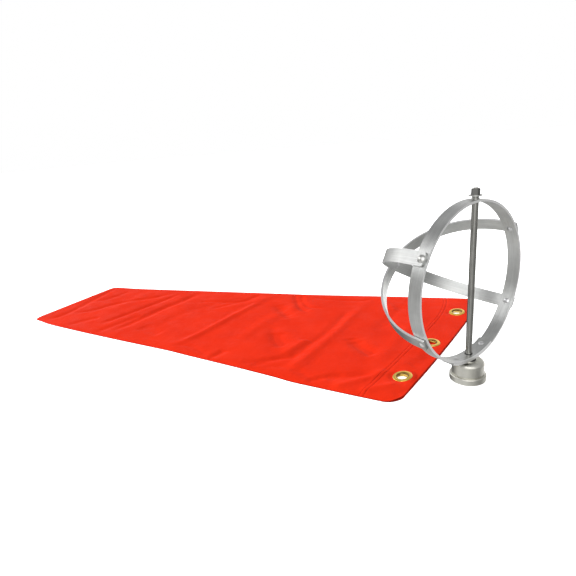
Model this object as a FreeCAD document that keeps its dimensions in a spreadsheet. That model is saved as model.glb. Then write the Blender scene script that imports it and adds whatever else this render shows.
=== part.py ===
"""Wind cone with its swivel frame, spindle and pipe cap, as a parametric FreeCAD document.

Row frame: millimetres, +Z up. The origin is on the spindle's axis, at the open rim of the pipe cap,
which stands on the ground plane. +X runs along the wind cone from its tail to its mouth.

The frame is a vertical ring of flat bar with two hoops that bow out to one side of it. It turns on the
spindle. Its own frame has X along the ring's horizontal diameter, Y towards the hoops and Z up.
"""
import FreeCAD, Part
import math
import os

from FreeCAD import Placement, Rotation, Vector

SIZES = {
    # flat bar that the ring and both hoops are bent from
    "strap_width": 19.05,
    "strap_thick": 3.175,
    # upright ring
    "ring_outer_diameter": 228.6,
    "ring_height": 151.6,
    "ring_offset": 6.4,
    "ring_azimuth": 60.4,
    "lap_inner_end": -65.0,
    "lap_outer_end": -111.0,
    "lap_join_start": -36.0,
    "lap_join_end": -62.0,
    "lap_gap": 0.1,
    "hoop_gap": 0.05,
    # hoops: slope of each chord in the ring's plane, depth from the ring's middle plane to the bow's top
    "outer_hoop_slope": 31.9,
    "outer_hoop_tilt": 6.5,
    "outer_hoop_depth": 124.9,
    "outer_hoop_leg": 9.6,
    "outer_hoop_skew": 9.4,
    "outer_hoop_corner": 1.5,
    "inner_hoop_slope": -28.4,
    "inner_hoop_tilt": 0.0,
    "inner_hoop_depth": 119.4,
    "inner_hoop_leg": 9.6,
    "inner_hoop_skew": 0.0,
    "inner_hoop_corner": 3.5,
    "hoop_far_reach": 9.0,
    "hoop_near_reach": 6.0,
    # rivets and the screw
    "rivet_radius": 2.4,
    "rivet_head_radius": 4.2,
    "rivet_head_rise": 1.3,
    "lap_rivet_low": -102.5,
    "lap_rivet_high": -70.0,
    "screw_radius": 2.4,
    "screw_head_radius": 5.3,
    "screw_head_rise": 3.1,
    "screw_head_rim": 0.6,
    "screw_nut_circumradius": 5.5,
    "screw_nut_height": 3.2,
    "screw_washer_radius": 6.2,
    "screw_washer_height": 1.0,
    "screw_tip": 1.4,
    "screw_shift": -1.8,
    # spindle and the pieces on it
    "spindle_radius": 4.5,
    "spindle_foot": 18.5,
    "shoulder_height": 270.0,
    "stud_radius": 3.0,
    "stud_rise": 10.6,
    "bush_bore": 4.56,
    "bush_radius": 5.6,
    "bush_rise": 0.4,
    "bottom_bush_flange_radius": 8.5,
    "bottom_bush_flange": 1.0,
    "top_washer_radius": 9.0,
    "top_washer_height": 1.3,
    "nut_circumradius": 5.8,
    "nut_height": 8.4,
    "nut_chamfer_width": 1.2,
    "nut_chamfer": 0.9,
    "insert_radius": 4.0,
    "insert_height": 1.7,
    "thrust_washer_radius": 11.1,
    "thrust_washer_height": 1.2,
    "bearing_washer_radius": 10.4,
    "bearing_washer_height": 0.6,
    "jam_nut_circumradius": 8.25,
    "jam_nut_height": 5.5,
    "lock_washer_radius": 8.6,
    "lock_washer_height": 1.6,
    # pipe cap
    "cap_height": 30.9,
    "cap_body_radius": 23.0,
    "cap_band_radius": 26.0,
    "cap_band_height": 10.5,
    "cap_shoulder": 5.0,
    "cap_crown": 4.0,
    "socket_radius": 20.6,
    "socket_depth": 17.5,
    "chamber_radius": 18.9,
    "band_edge": 2.2,
    # wind cone, laid flat
    "cone_length": 920.0,
    "mouth_flat": 458.0,
    "tail_flat": 254.0,
    "mouth_skew": 64.0,
    "mouth_bulge": 20.0,
    "tail_bulge": 6.0,
    "tail_x": -973.0,
    "tail_y": 123.5,
    "cloth_pile": 4.0,
    "hem_pile": 4.2,
    "hem_slit": 1.6,
    "hem_fold": 5.0,
    "mouth_hem_width": 58.0,
    "tail_hem_width": 20.0,
    # brass eyelets
    "eyelet_hole": 7.9,
    "eyelet_barrel": 8.5,
    "eyelet_flange": 14.8,
    "eyelet_rise": 0.9,
    "eyelet_washer_radius": 13.0,
    "eyelet_washer_height": 0.7,
    "eyelet_row_start": 909.5,
    "eyelet_row_slope": 0.168,
    "eyelet_near": -155.5,
    "eyelet_middle": -23.5,
    "eyelet_far": 131.8,
    "middle_eyelet_slip": 22.0,
}

doc = FreeCAD.newDocument("Windsock")
sheet = doc.addObject("Spreadsheet::Sheet", "Sizes")
for row, (alias, value) in enumerate(SIZES.items(), start=1):
    sheet.set("A%d" % row, alias)
    sheet.set("B%d" % row, "%g" % value)
    sheet.setAlias("B%d" % row, alias)
doc.recompute()

NODES = []
EPSILON = 1e-6


def size(alias):
    """A driving dimension, read back from the sheet."""
    return float(sheet.get(alias))


def node(obj, label):
    """Names a finished sub-part and keeps it for export."""
    obj.Label = label
    NODES.append(obj)
    return obj


def bind(obj, **expressions):
    """Binds properties of an object to cells of the sheet. Double underscores stand for dots."""
    for prop, expression in expressions.items():
        obj.setExpression(prop.replace("__", "."), expression)


def cylinder(radius, height, base="0 mm"):
    """An upright cylinder on the spindle's axis. Sizes are expressions over the sheet."""
    obj = doc.addObject("Part::Cylinder", "Cylinder")
    bind(obj, Radius=radius, Height=height, Placement__Base__z=base)
    return obj


def hexagon(circumradius, height, base):
    """An upright hexagonal prism on the spindle's axis."""
    obj = doc.addObject("Part::Prism", "Hexagon")
    obj.Polygon = 6
    bind(obj, Circumradius=circumradius, Height=height, Placement__Base__z=base)
    return obj


def cone(radius_low, radius_high, height, base):
    """An upright cone on the spindle's axis."""
    obj = doc.addObject("Part::Cone", "Cone")
    bind(obj, Radius1=radius_low, Radius2=radius_high, Height=height, Placement__Base__z=base)
    return obj


def fuse(*shapes):
    """The union of several objects."""
    obj = doc.addObject("Part::MultiFuse", "Fuse")
    obj.Shapes = list(shapes)
    return obj


def cut(base, *tools):
    """One object with others taken away."""
    obj = doc.addObject("Part::Cut", "Cut")
    obj.Base = base
    obj.Tool = tools[0] if len(tools) == 1 else fuse(*tools)
    return obj


def common(first, second):
    """What two objects share."""
    obj = doc.addObject("Part::Common", "Common")
    obj.Base = first
    obj.Tool = second
    return obj


def group(*shapes):
    """Several separate solids as one sub-part."""
    obj = doc.addObject("Part::Compound", "Group")
    obj.Links = list(shapes)
    return obj


def washer(label, radius, hole, height, base):
    """A flat ring on the spindle's axis."""
    return node(cut(cylinder(radius, height, base), cylinder(hole, height, base)), label)


def origin_plane(body, role):
    """One of a body's own origin planes, found by its role."""
    for feature in body.Origin.OriginFeatures:
        if feature.Role == role:
            return feature
    raise ValueError(role)


def new_body(name, role):
    """A body and its first sketch, on one of its origin planes."""
    body = doc.addObject("PartDesign::Body", name)
    sketch = body.newObject("Sketcher::SketchObject", name + "Profile")
    sketch.AttachmentSupport = [(origin_plane(body, role), "")]
    sketch.MapMode = "FlatFace"
    return body, sketch


def pad_both_ways(body, sketch, length):
    """Pads a sketch evenly to both sides of its plane."""
    pad = body.newObject("PartDesign::Pad", body.Name + "Pad")
    pad.Profile = sketch
    pad.Midplane = True
    pad.setExpression("Length", length)
    body.Tip = pad
    return pad


def revolve(body, sketch):
    """Turns a sketch all the way round its vertical axis."""
    turned = body.newObject("PartDesign::Revolution", body.Name + "Turned")
    turned.Profile = sketch
    turned.ReferenceAxis = (sketch, ["V_Axis"])
    turned.Angle = 360
    body.Tip = turned
    return turned


def polar(radius, degrees):
    """A point of a sketch at a radius and an angle."""
    angle = math.radians(degrees)
    return Vector(radius * math.cos(angle), radius * math.sin(angle), 0)


def circle_arc(radius, first, last):
    """An arc about the sketch's origin, anticlockwise from one angle to another."""
    circle = Part.Circle(Vector(), Vector(0, 0, 1), radius)
    return Part.ArcOfCircle(circle, math.radians(first), math.radians(last))


def quarter_ellipse(x, y, across, along, side):
    """A quarter of an ellipse centred on (x, y), from its top down to one side (1 right, -1 left)."""
    centre = Vector(x, y, 0)
    if across >= along:
        ellipse = Part.Ellipse(centre + Vector(across, 0, 0), centre + Vector(0, along, 0), centre)
        first, last = (0, 90) if side > 0 else (90, 180)
    else:
        ellipse = Part.Ellipse(centre + Vector(0, along, 0), centre - Vector(across, 0, 0), centre)
        first, last = (-90, 0) if side > 0 else (0, 90)
    return Part.ArcOfEllipse(ellipse, math.radians(first), math.radians(last))


def line(*points):
    """A straight edge of a sketch."""
    return Part.LineSegment(*points)


strap = size("strap_thick")
ring_radius = size("ring_outer_diameter") / 2 - strap / 2
lap_radius = ring_radius + strap + size("lap_gap")
hoop_chord = ring_radius + strap + size("hoop_gap")
ring_turn = Rotation(Vector(0, 0, 1), size("ring_azimuth"))
ring_centre = ring_turn.multVec(Vector(-size("ring_offset"), 0, 0)) + Vector(0, 0, size("ring_height"))


def frame_place(point=Vector(), rotation=Rotation()):
    """A placement in the swivel frame's own axes, about the ring's centre, as one in the row frame."""
    return Placement(ring_centre, ring_turn).multiply(Placement(point, rotation))


# ---------------------------------------------------------------- pipe cap and its fastening

def make_pipe_cap():
    """A cap with a round shoulder and a thick band at its rim, hollow, with a hole for the spindle."""
    body, sketch = new_body("PipeCap", "XZ_Plane")
    rise = size("cap_height")
    waist = size("cap_body_radius")
    band = size("cap_band_radius")
    band_top = size("cap_band_height")
    soft = size("cap_shoulder")
    edge = size("band_edge")
    roof = rise - size("cap_crown")
    hole = size("spindle_radius")
    corner = soft * (1 - math.sqrt(0.5))
    bevel = edge * (1 - math.sqrt(0.5))
    points = {
        "rim": Vector(size("socket_radius"), 0, 0),
        "foot": Vector(band - edge, 0, 0),
        "foot_round": Vector(band - bevel, bevel, 0),
        "foot_side": Vector(band, edge, 0),
        "band_side": Vector(band, band_top - edge, 0),
        "band_round": Vector(band - bevel, band_top - bevel, 0),
        "band_shelf": Vector(band - edge, band_top, 0),
        "waist": Vector(waist, band_top, 0),
        "shoulder_side": Vector(waist, rise - soft, 0),
        "shoulder_round": Vector(waist - corner, rise - corner, 0),
        "shoulder_top": Vector(waist - soft, rise, 0),
        "hole_top": Vector(hole, rise, 0),
        "hole_foot": Vector(hole, roof, 0),
        "chamber_top": Vector(size("chamber_radius"), roof, 0),
        "chamber_foot": Vector(size("chamber_radius"), size("socket_depth"), 0),
        "socket_top": Vector(size("socket_radius"), size("socket_depth"), 0),
    }
    for first, last in (("rim", "foot"), ("foot_side", "band_side"), ("band_shelf", "waist"),
                        ("waist", "shoulder_side"), ("shoulder_top", "hole_top"),
                        ("hole_top", "hole_foot"), ("hole_foot", "chamber_top"),
                        ("chamber_top", "chamber_foot"), ("chamber_foot", "socket_top"),
                        ("socket_top", "rim")):
        sketch.addGeometry(line(points[first], points[last]))
    for first, middle, last in (("foot", "foot_round", "foot_side"),
                                ("band_side", "band_round", "band_shelf"),
                                ("shoulder_side", "shoulder_round", "shoulder_top")):
        sketch.addGeometry(Part.Arc(points[first], points[middle], points[last]))
    revolve(body, sketch)
    return node(body, "pipe_cap")


def make_spindle():
    """A round rod from inside the cap to its shoulder, with a thinner threaded stud on top."""
    rod = cylinder("Sizes.spindle_radius", "Sizes.shoulder_height - Sizes.spindle_foot", "Sizes.spindle_foot")
    stud = cylinder("Sizes.stud_radius", "Sizes.stud_rise", "Sizes.shoulder_height")
    return node(fuse(rod, stud), "spindle_rod")


def make_spindle_fastening():
    """The washer and jam nut that hold the spindle from inside the cap."""
    roof = "Sizes.cap_height - Sizes.cap_crown"
    washer_foot = roof + " - Sizes.lock_washer_height"
    nut_foot = washer_foot + " - Sizes.jam_nut_height"
    washer("spindle_lock_washer", "Sizes.lock_washer_radius", "Sizes.spindle_radius",
           "Sizes.lock_washer_height", washer_foot)
    nut = cut(hexagon("Sizes.jam_nut_circumradius", "Sizes.jam_nut_height", nut_foot),
              cylinder("Sizes.spindle_radius", "Sizes.jam_nut_height", nut_foot))
    node(nut, "spindle_jam_nut")


def make_bearing():
    """The steel washer and the dark plastic washer that carry the ring."""
    washer("thrust_washer", "Sizes.thrust_washer_radius", "Sizes.spindle_radius",
           "Sizes.thrust_washer_height", "Sizes.cap_height")
    washer("bearing_washer", "Sizes.bearing_washer_radius", "Sizes.bush_bore",
           "Sizes.bearing_washer_height", "Sizes.cap_height + Sizes.thrust_washer_height")


def make_top_fastening():
    """The wide washer and the lock nut with its plastic insert, on the spindle's stud."""
    washer("top_washer", "Sizes.top_washer_radius", "Sizes.stud_radius",
           "Sizes.top_washer_height", "Sizes.shoulder_height")
    foot = "Sizes.shoulder_height + Sizes.top_washer_height"
    top = foot + " + Sizes.nut_height"
    seat = top + " - Sizes.insert_height"
    bevel = fuse(
        cylinder("Sizes.nut_circumradius", "Sizes.nut_height - Sizes.nut_chamfer", foot),
        cone("Sizes.nut_circumradius", "Sizes.nut_circumradius - Sizes.nut_chamfer_width",
             "Sizes.nut_chamfer", top + " - Sizes.nut_chamfer"),
    )
    hexed = common(hexagon("Sizes.nut_circumradius", "Sizes.nut_height", foot), bevel)
    nut = cut(hexed,
              cylinder("Sizes.stud_radius", "Sizes.nut_height", foot),
              cylinder("Sizes.insert_radius", "Sizes.insert_height", seat))
    node(nut, "top_lock_nut")
    washer("lock_nut_insert", "Sizes.insert_radius", "Sizes.stud_radius", "Sizes.insert_height", seat)


# ---------------------------------------------------------------- swivel frame

def ring_outline(sketch):
    """Both sides of the bent bar, from its inner end round the ring to its outer end under the lap."""
    inner_end = size("lap_inner_end")
    outer_end = size("lap_outer_end")
    join_start = size("lap_join_start")
    join_end = size("lap_join_end")
    middle = (join_start + join_end) / 2
    step = lap_radius - ring_radius
    for side in (-strap / 2, strap / 2):
        sketch.addGeometry(circle_arc(ring_radius + side, join_start, inner_end + 360))
        sketch.addGeometry(Part.Arc(polar(ring_radius + side, join_start),
                                    polar(ring_radius + side + step / 2, middle),
                                    polar(lap_radius + side, join_end)))
        sketch.addGeometry(circle_arc(lap_radius + side, outer_end, join_end))
    for radius, angle in ((ring_radius, inner_end), (lap_radius, outer_end)):
        sketch.addGeometry(line(polar(radius - strap / 2, angle), polar(radius + strap / 2, angle)))


def radial_hole(angle, radius, shift=0.0):
    """A drill that goes through the ring's bar at an angle of its plane, moved along the ring's axis."""
    drill = doc.addObject("Part::Cylinder", "Drill")
    drill.Height = 6 * strap
    drill.setExpression("Radius", radius)
    outward = Rotation(Vector(0, 0, 1), ring_axis(angle))
    drill.Placement = frame_place(ring_axis(angle) * (ring_radius - 2 * strap) + Vector(0, shift, 0), outward)
    return drill


def ring_axis(angle):
    """The direction of a ring angle, in the swivel frame's own axes."""
    turn = math.radians(angle)
    return Vector(math.cos(turn), 0, math.sin(turn))


def hoop_ends():
    """Ring angles of the four hoop ends: the outer hoop's far and near end, then the inner hoop's."""
    outer = size("outer_hoop_slope")
    inner = size("inner_hoop_slope")
    return outer, outer + 180, inner, inner + 180


def make_ring():
    """The upright ring, bent from one flat bar with lapped ends, drilled for bushes and rivets."""
    body, sketch = new_body("RingBar", "XZ_Plane")
    ring_outline(sketch)
    pad_both_ways(body, sketch, "Sizes.strap_width")
    body.Placement = frame_place()
    drills = [cylinder("Sizes.bush_radius", "2 * Sizes.ring_height")]
    for angle in (size("lap_rivet_low"), size("lap_rivet_high")) + hoop_ends()[:3]:
        drills.append(radial_hole(angle, "Sizes.rivet_radius"))
    drills.append(radial_hole(hoop_ends()[3], "Sizes.screw_radius", size("screw_shift")))
    return node(cut(body, *drills), "ring_strap")


def hoop_rotation(name):
    """Turns the XY plane onto a hoop's plane: X along its chord, Y towards the top of its bow."""
    tilt = Rotation(Vector(1, 0, 0), size(name + "_tilt"))
    slope = Rotation(Vector(0, 1, 0), -size(name + "_slope"))
    return slope.multiply(tilt)


def hoop_outline(sketch, name):
    """A U of flat bar: two short straight legs and a bow of two quarter ellipses that meet at its top."""
    chord = hoop_chord
    leg = size(name + "_leg")
    bow = size(name + "_depth") - leg
    skew = size(name + "_skew")
    feet = {1: -size("hoop_far_reach"), -1: -size("hoop_near_reach")}
    for side, foot in feet.items():
        across = chord - side * skew
        for half in (-strap / 2, strap / 2):
            sketch.addGeometry(quarter_ellipse(skew, leg, across + half, bow + half, side))
            sketch.addGeometry(line(Vector(side * (chord + half), leg, 0),
                                    Vector(side * (chord + half), foot, 0)))
        sketch.addGeometry(line(Vector(side * (chord - strap / 2), foot, 0),
                                Vector(side * (chord + strap / 2), foot, 0)))


def round_corners(body, pad, radius):
    """Rounds the bar's four end corners, which are its edges as long as the bar is thick."""
    doc.recompute()
    corners = ["Edge%d" % (k + 1) for k, edge in enumerate(pad.Shape.Edges)
               if abs(edge.Length - strap) < EPSILON]
    rounding = body.newObject("PartDesign::Fillet", "EndRounding")
    rounding.Base = (pad, corners)
    rounding.setExpression("Radius", radius)
    body.Tip = rounding


def make_hoop(name, label):
    """One bowed hoop, held on the outside of the ring at both ends."""
    body, sketch = new_body(label.title().replace("_", ""), "XY_Plane")
    hoop_outline(sketch, name)
    pad = pad_both_ways(body, sketch, "Sizes.strap_width")
    round_corners(body, pad, "Sizes.%s_corner" % name)
    body.Placement = frame_place(rotation=hoop_rotation(name))
    slope = size(name + "_slope")
    near_shift = size("screw_shift") if name == "inner_hoop" else 0.0
    drills = [radial_hole(slope, "Sizes.rivet_radius"),
              radial_hole(slope + 180, "Sizes.rivet_radius", near_shift),
              pole_drill()]
    return node(cut(body, *drills), label)


def crossing():
    """Direction from the ring's centre to where the hoops cross, scaled to one unit along Y."""
    outer = hoop_rotation("outer_hoop").multVec(Vector(0, 0, 1))
    inner = hoop_rotation("inner_hoop").multVec(Vector(0, 0, 1))
    along = outer.cross(inner)
    return along * (1 / along.y)


def pole_span():
    """How far out the inner hoop's inside and the outer hoop's outside lie where the hoops cross."""
    spans = []
    for name, side in (("inner_hoop", -1), ("outer_hoop", 1)):
        back = hoop_rotation(name).inverted()
        direction = back.multVec(crossing())
        skew = size(name + "_skew")
        leg = size(name + "_leg")
        place = size(name + "_depth") / direction.y
        offset = direction.x * place - skew
        reach = hoop_chord - math.copysign(skew, offset) + side * strap / 2
        rise = (size(name + "_depth") - leg + side * strap / 2) * math.sqrt(1 - (offset / reach) ** 2)
        spans.append((leg + rise) / direction.y)
    return spans


def pole_place(depth):
    """A placement on the crossing's direction, with Z pointing out of the bow."""
    outward = Rotation(Vector(0, 0, 1), crossing())
    return frame_place(crossing() * depth, outward)


def pole_drill():
    """A drill through both hoops where they cross."""
    drill = doc.addObject("Part::Cylinder", "PoleDrill")
    drill.Height = 10 * strap
    drill.setExpression("Radius", "Sizes.rivet_radius")
    drill.Placement = pole_place(pole_span()[0] - 3 * strap)
    return drill


def dome(radius, rise, grip=0.0):
    """A low domed head on z = 0, cut from a ball. Its grip is a straight rim under the dome."""
    ball = (radius ** 2 + rise ** 2) / (2 * rise)
    head = Part.makeSphere(ball, Vector(0, 0, rise - ball + grip))
    block = Part.makeCylinder(radius, rise + grip)
    return head.common(block)


def rivet_shape(length):
    """A rivet on its Z axis: shank from 0 to its length, with a dome at each end."""
    cap = dome(size("rivet_head_radius"), size("rivet_head_rise"))
    far = cap.copy()
    far.translate(Vector(0, 0, length))
    near = cap.copy()
    near.rotate(Vector(), Vector(1, 0, 0), 180)
    return Part.makeCylinder(size("rivet_radius"), length).fuse([far, near]).removeSplitter()


def rivet(shape, place):
    """One rivet as an object of the document."""
    obj = doc.addObject("Part::Feature", "Rivet")
    obj.Shape = shape
    obj.Placement = place
    return obj


def inner_seat(head):
    """Ring radius where a flat head of a given radius just clears the ring's hollow side."""
    return math.sqrt((ring_radius - strap / 2) ** 2 - head ** 2) - size("hoop_gap")


def radial_place(angle, radius, shift=0.0):
    """A placement on the ring's radius at an angle, moved along the ring's axis, with Z pointing outwards."""
    outward = Rotation(Vector(0, 0, 1), ring_axis(angle))
    return frame_place(ring_axis(angle) * radius + Vector(0, shift, 0), outward)


def make_rivets():
    """Two lap rivets, three hoop-end rivets and the rivet where the hoops cross."""
    inside = inner_seat(size("rivet_head_radius"))
    lap_length = lap_radius + strap / 2 - inside
    end_length = hoop_chord + strap / 2 - inside
    laps = [rivet(rivet_shape(lap_length), radial_place(size(name), inside))
            for name in ("lap_rivet_low", "lap_rivet_high")]
    node(group(*laps), "ring_lap_rivets")
    far_outer, near_outer, far_inner, _ = hoop_ends()
    ends = [rivet(rivet_shape(end_length), radial_place(angle, inside))
            for angle in (far_outer, near_outer, far_inner)]
    node(group(*ends), "hoop_rivets")
    low, high = pole_span()
    node(rivet(rivet_shape(high - low), pole_place(low)), "pole_rivet")


def make_hoop_screw():
    """The round-head screw at the inner hoop's near end, with its washer and nut inside the ring."""
    angle = hoop_ends()[3]
    shift = size("screw_shift")
    outside = hoop_chord + strap / 2
    inside = inner_seat(size("screw_washer_radius"))
    washer_height = size("screw_washer_height")
    nut_height = size("screw_nut_height")
    shank = outside - inside + washer_height + nut_height + size("screw_tip")
    rim = size("screw_head_rim")
    head = dome(size("screw_head_radius"), size("screw_head_rise") - rim, rim)
    head.translate(Vector(0, 0, shank))
    screw = Part.makeCylinder(size("screw_radius"), shank).fuse(head).removeSplitter()
    node(rivet(screw, radial_place(angle, outside - shank, shift)), "hoop_screw")
    bore = Part.makeCylinder(size("screw_radius"), 4 * nut_height)
    ring = Part.makeCylinder(size("screw_washer_radius"), washer_height).cut(bore)
    node(rivet(ring, radial_place(angle, inside - washer_height, shift)), "hoop_screw_washer")
    corners = [polar(size("screw_nut_circumradius"), 60 * k) for k in range(7)]
    nut = Part.Face(Part.makePolygon(corners)).extrude(Vector(0, 0, nut_height)).cut(bore)
    node(rivet(nut, radial_place(angle, inside - washer_height - nut_height, shift)), "hoop_screw_nut")


def make_bushes():
    """The plain bush in the ring's top and the flanged bush through the lap at its bottom."""
    span = "Sizes.strap_thick + 2 * Sizes.bush_rise"
    ring_rise = "Sizes.ring_height + Sizes.ring_outer_diameter / 2"
    washer("top_bush", "Sizes.bush_radius", "Sizes.bush_bore", span,
           ring_rise + " - Sizes.strap_thick - Sizes.bush_rise")
    flange_foot = "Sizes.cap_height + Sizes.thrust_washer_height + Sizes.bearing_washer_height"
    lap_top = "Sizes.ring_height - Sizes.ring_outer_diameter / 2 + Sizes.strap_thick"
    barrel = cylinder("Sizes.bush_radius",
                      "%s + Sizes.bush_rise - (%s)" % (lap_top, flange_foot), flange_foot)
    flange = cylinder("Sizes.bottom_bush_flange_radius", "Sizes.bottom_bush_flange", flange_foot)
    bore = cylinder("Sizes.bush_bore", "Sizes.ring_height", flange_foot)
    node(cut(fuse(barrel, flange), bore), "bottom_bush")


# ---------------------------------------------------------------- wind cone, laid flat

def cone_half_width(x):
    """Half the flat cone's width at a distance from its tail."""
    share = x / size("cone_length")
    return (size("tail_flat") + (size("mouth_flat") - size("tail_flat")) * share) / 2


def cone_corner(x, side):
    """A point on the flat cone's far (1) or near (-1) edge, with the mouth's skew let in evenly."""
    share = x / size("cone_length")
    return Vector(x + side * share * size("mouth_skew") / 2, side * cone_half_width(x), 0)


def cone_bow(x):
    """How far the flat cone's cross lines bow towards its mouth: the cut of a cone is an arc."""
    share = x / size("cone_length")
    return size("tail_bulge") + (size("mouth_bulge") - size("tail_bulge")) * share


def cross_arc(x):
    """The bowed line across the flat cone at a distance from its tail."""
    near = cone_corner(x, -1)
    far = cone_corner(x, 1)
    middle = (near + far) * 0.5 + Vector(cone_bow(x), 0, 0)
    return Part.Arc(near, middle, far).toShape()


def cone_panel(first, last, pile):
    """The flat pile between two cross lines, standing on the ground."""
    edges = [
        Part.LineSegment(cone_corner(first, -1), cone_corner(last, -1)).toShape(),
        cross_arc(last),
        Part.LineSegment(cone_corner(last, 1), cone_corner(first, 1)).toShape(),
        cross_arc(first),
    ]
    return Part.Face(Part.Wire(edges)).extrude(Vector(0, 0, pile))


def eyelet_centres(slip=0.0):
    """Centres of the three eyelets on one side of the mouth hem: a straight row, in the cone's own axes."""
    centres = []
    for name in ("eyelet_near", "eyelet_middle", "eyelet_far"):
        y = size(name) + (slip if name == "eyelet_middle" else 0.0)
        centres.append(Vector(size("eyelet_row_start") + size("eyelet_row_slope") * y, y, 0))
    return centres


def cone_place():
    """The wind cone's place: its tail's middle, on the ground."""
    return Placement(Vector(size("tail_x"), size("tail_y"), 0), Rotation())


def cone_part(shape, label):
    """One piece of the wind cone as an object of the document."""
    obj = doc.addObject("Part::Feature", label)
    obj.Shape = shape
    obj.Placement = cone_place()
    return node(obj, label)


def make_cone():
    """The cone's cloth laid flat, and its hems."""
    length = size("cone_length")
    mouth = length - size("mouth_hem_width")
    tail = size("tail_hem_width")
    cone_part(cone_panel(tail, mouth, size("cloth_pile")), "sock_cone")
    cone_part(cone_panel(0, tail, size("hem_pile")), "tail_hem")
    make_mouth_hem(mouth, length)


def make_mouth_hem(first, last):
    """The mouth hem's upper and lower sides with their eyelet holes, and the folds that join them."""
    pile = size("hem_pile")
    slit = size("hem_slit")
    layer = (pile - slit) / 2
    upper = cone_panel(first, last, layer)
    upper.translate(Vector(0, 0, pile - layer))
    for centre in eyelet_centres():
        upper = upper.cut(Part.makeCylinder(size("eyelet_barrel"), pile, centre))
    cone_part(upper, "mouth_hem_upper")
    lower = cone_panel(first, last, layer)
    for centre in eyelet_centres(size("middle_eyelet_slip")):
        lower = lower.cut(Part.makeCylinder(size("eyelet_barrel"), pile, centre))
        lower = lower.cut(Part.makeCylinder(size("eyelet_flange"), size("eyelet_rise"), centre))
    cone_part(lower, "mouth_hem_lower")
    fold = Vector(0, size("hem_fold"), 0)
    past = Vector(size("mouth_hem_width"), 0, 0)
    corners = [cone_corner(first, -1) + fold - past, cone_corner(last, -1) + fold + past,
               cone_corner(last, 1) - fold + past, cone_corner(first, 1) - fold - past]
    opening = Part.Face(Part.makePolygon(corners + corners[:1])).extrude(Vector(0, 0, slit))
    folds = cone_panel(first, last, slit)
    for shape in (folds, opening):
        shape.translate(Vector(0, 0, layer))
    cone_part(folds.cut(opening), "mouth_hem_folds")


def eyelet_shape(cloth):
    """A brass eyelet on its Z axis: a rounded flange on z = 0 and a barrel down through the cloth."""
    hole = size("eyelet_hole")
    barrel = size("eyelet_barrel")
    flange = size("eyelet_flange")
    foot = -(cloth + size("eyelet_washer_height"))
    crest = Vector((hole + flange) / 2, 0, size("eyelet_rise"))
    points = [Vector(flange, 0, 0), Vector(barrel, 0, 0), Vector(barrel, 0, foot), Vector(hole, 0, foot),
              Vector(hole, 0, 0)]
    outline = [line(first, last).toShape() for first, last in zip(points, points[1:])]
    outline.append(Part.Arc(points[-1], crest, points[0]).toShape())
    return Part.Face(Part.Wire(outline)).revolve(Vector(), Vector(0, 0, 1), 360)


def eyelet_washer_shape():
    """The back ring that the barrel is rolled over, under a cloth layer."""
    ring = Part.makeCylinder(size("eyelet_washer_radius"), size("eyelet_washer_height"))
    return ring.cut(Part.makeCylinder(size("eyelet_barrel"), size("eyelet_washer_height")))


def placed(shape, centre, z, flip=False):
    """A copy of a shape at a centre and height, upside down if asked."""
    copy = shape.copy()
    if flip:
        copy.rotate(Vector(), Vector(1, 0, 0), 180)
    copy.translate(centre + Vector(0, 0, z))
    return copy


def make_eyelets():
    """Three eyelets with their back rings in each side of the mouth hem."""
    pile = size("hem_pile")
    rise = size("eyelet_rise")
    slit_foot = (pile - size("hem_slit")) / 2
    slit_top = pile - slit_foot
    washer_height = size("eyelet_washer_height")
    upper = eyelet_centres()
    lower = eyelet_centres(size("middle_eyelet_slip"))
    eyelet = eyelet_shape(slit_foot)
    lower_eyelet = eyelet_shape(slit_foot - rise)
    back_ring = eyelet_washer_shape()
    cone_part(Part.makeCompound([placed(eyelet, spot, pile) for spot in upper]), "eyelets_upper")
    cone_part(Part.makeCompound([placed(lower_eyelet, spot, rise, True) for spot in lower]), "eyelets_lower")
    cone_part(Part.makeCompound([placed(back_ring, spot, slit_top - washer_height) for spot in upper]),
              "eyelet_washers_upper")
    cone_part(Part.makeCompound([placed(back_ring, spot, slit_foot) for spot in lower]),
              "eyelet_washers_lower")


# ---------------------------------------------------------------- build, check and write

def check_and_write():
    """Stops on any failed object or bad shape, then writes one STEP file for each sub-part."""
    doc.recompute()
    for obj in doc.Objects:
        bad = [state for state in obj.State if state in ("Invalid", "Error")]
        if bad:
            raise RuntimeError("%s is %s" % (obj.Label, bad))
    os.makedirs("parts", exist_ok=True)
    for obj in NODES:
        shape = obj.Shape
        if shape.isNull() or not shape.isValid() or not shape.Solids:
            raise RuntimeError("%s has a bad shape" % obj.Label)
        shape.exportStep("parts/%s.step" % obj.Label)
        print("%-22s solids %d  volume %.1f mm3" % (obj.Label, len(shape.Solids), shape.Volume))


make_pipe_cap()
make_spindle()
make_spindle_fastening()
make_bearing()
make_top_fastening()
make_ring()
make_hoop("outer_hoop", "hoop_outer")
make_hoop("inner_hoop", "hoop_inner")
make_rivets()
make_hoop_screw()
make_bushes()
make_cone()
make_eyelets()
check_and_write()
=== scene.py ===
"""Looks of the windsock with its swivel frame: camera, studio, finishes and the cloth cone."""
import math
import bpy
import numpy as np
from mathutils import Matrix, Vector, noise


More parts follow.
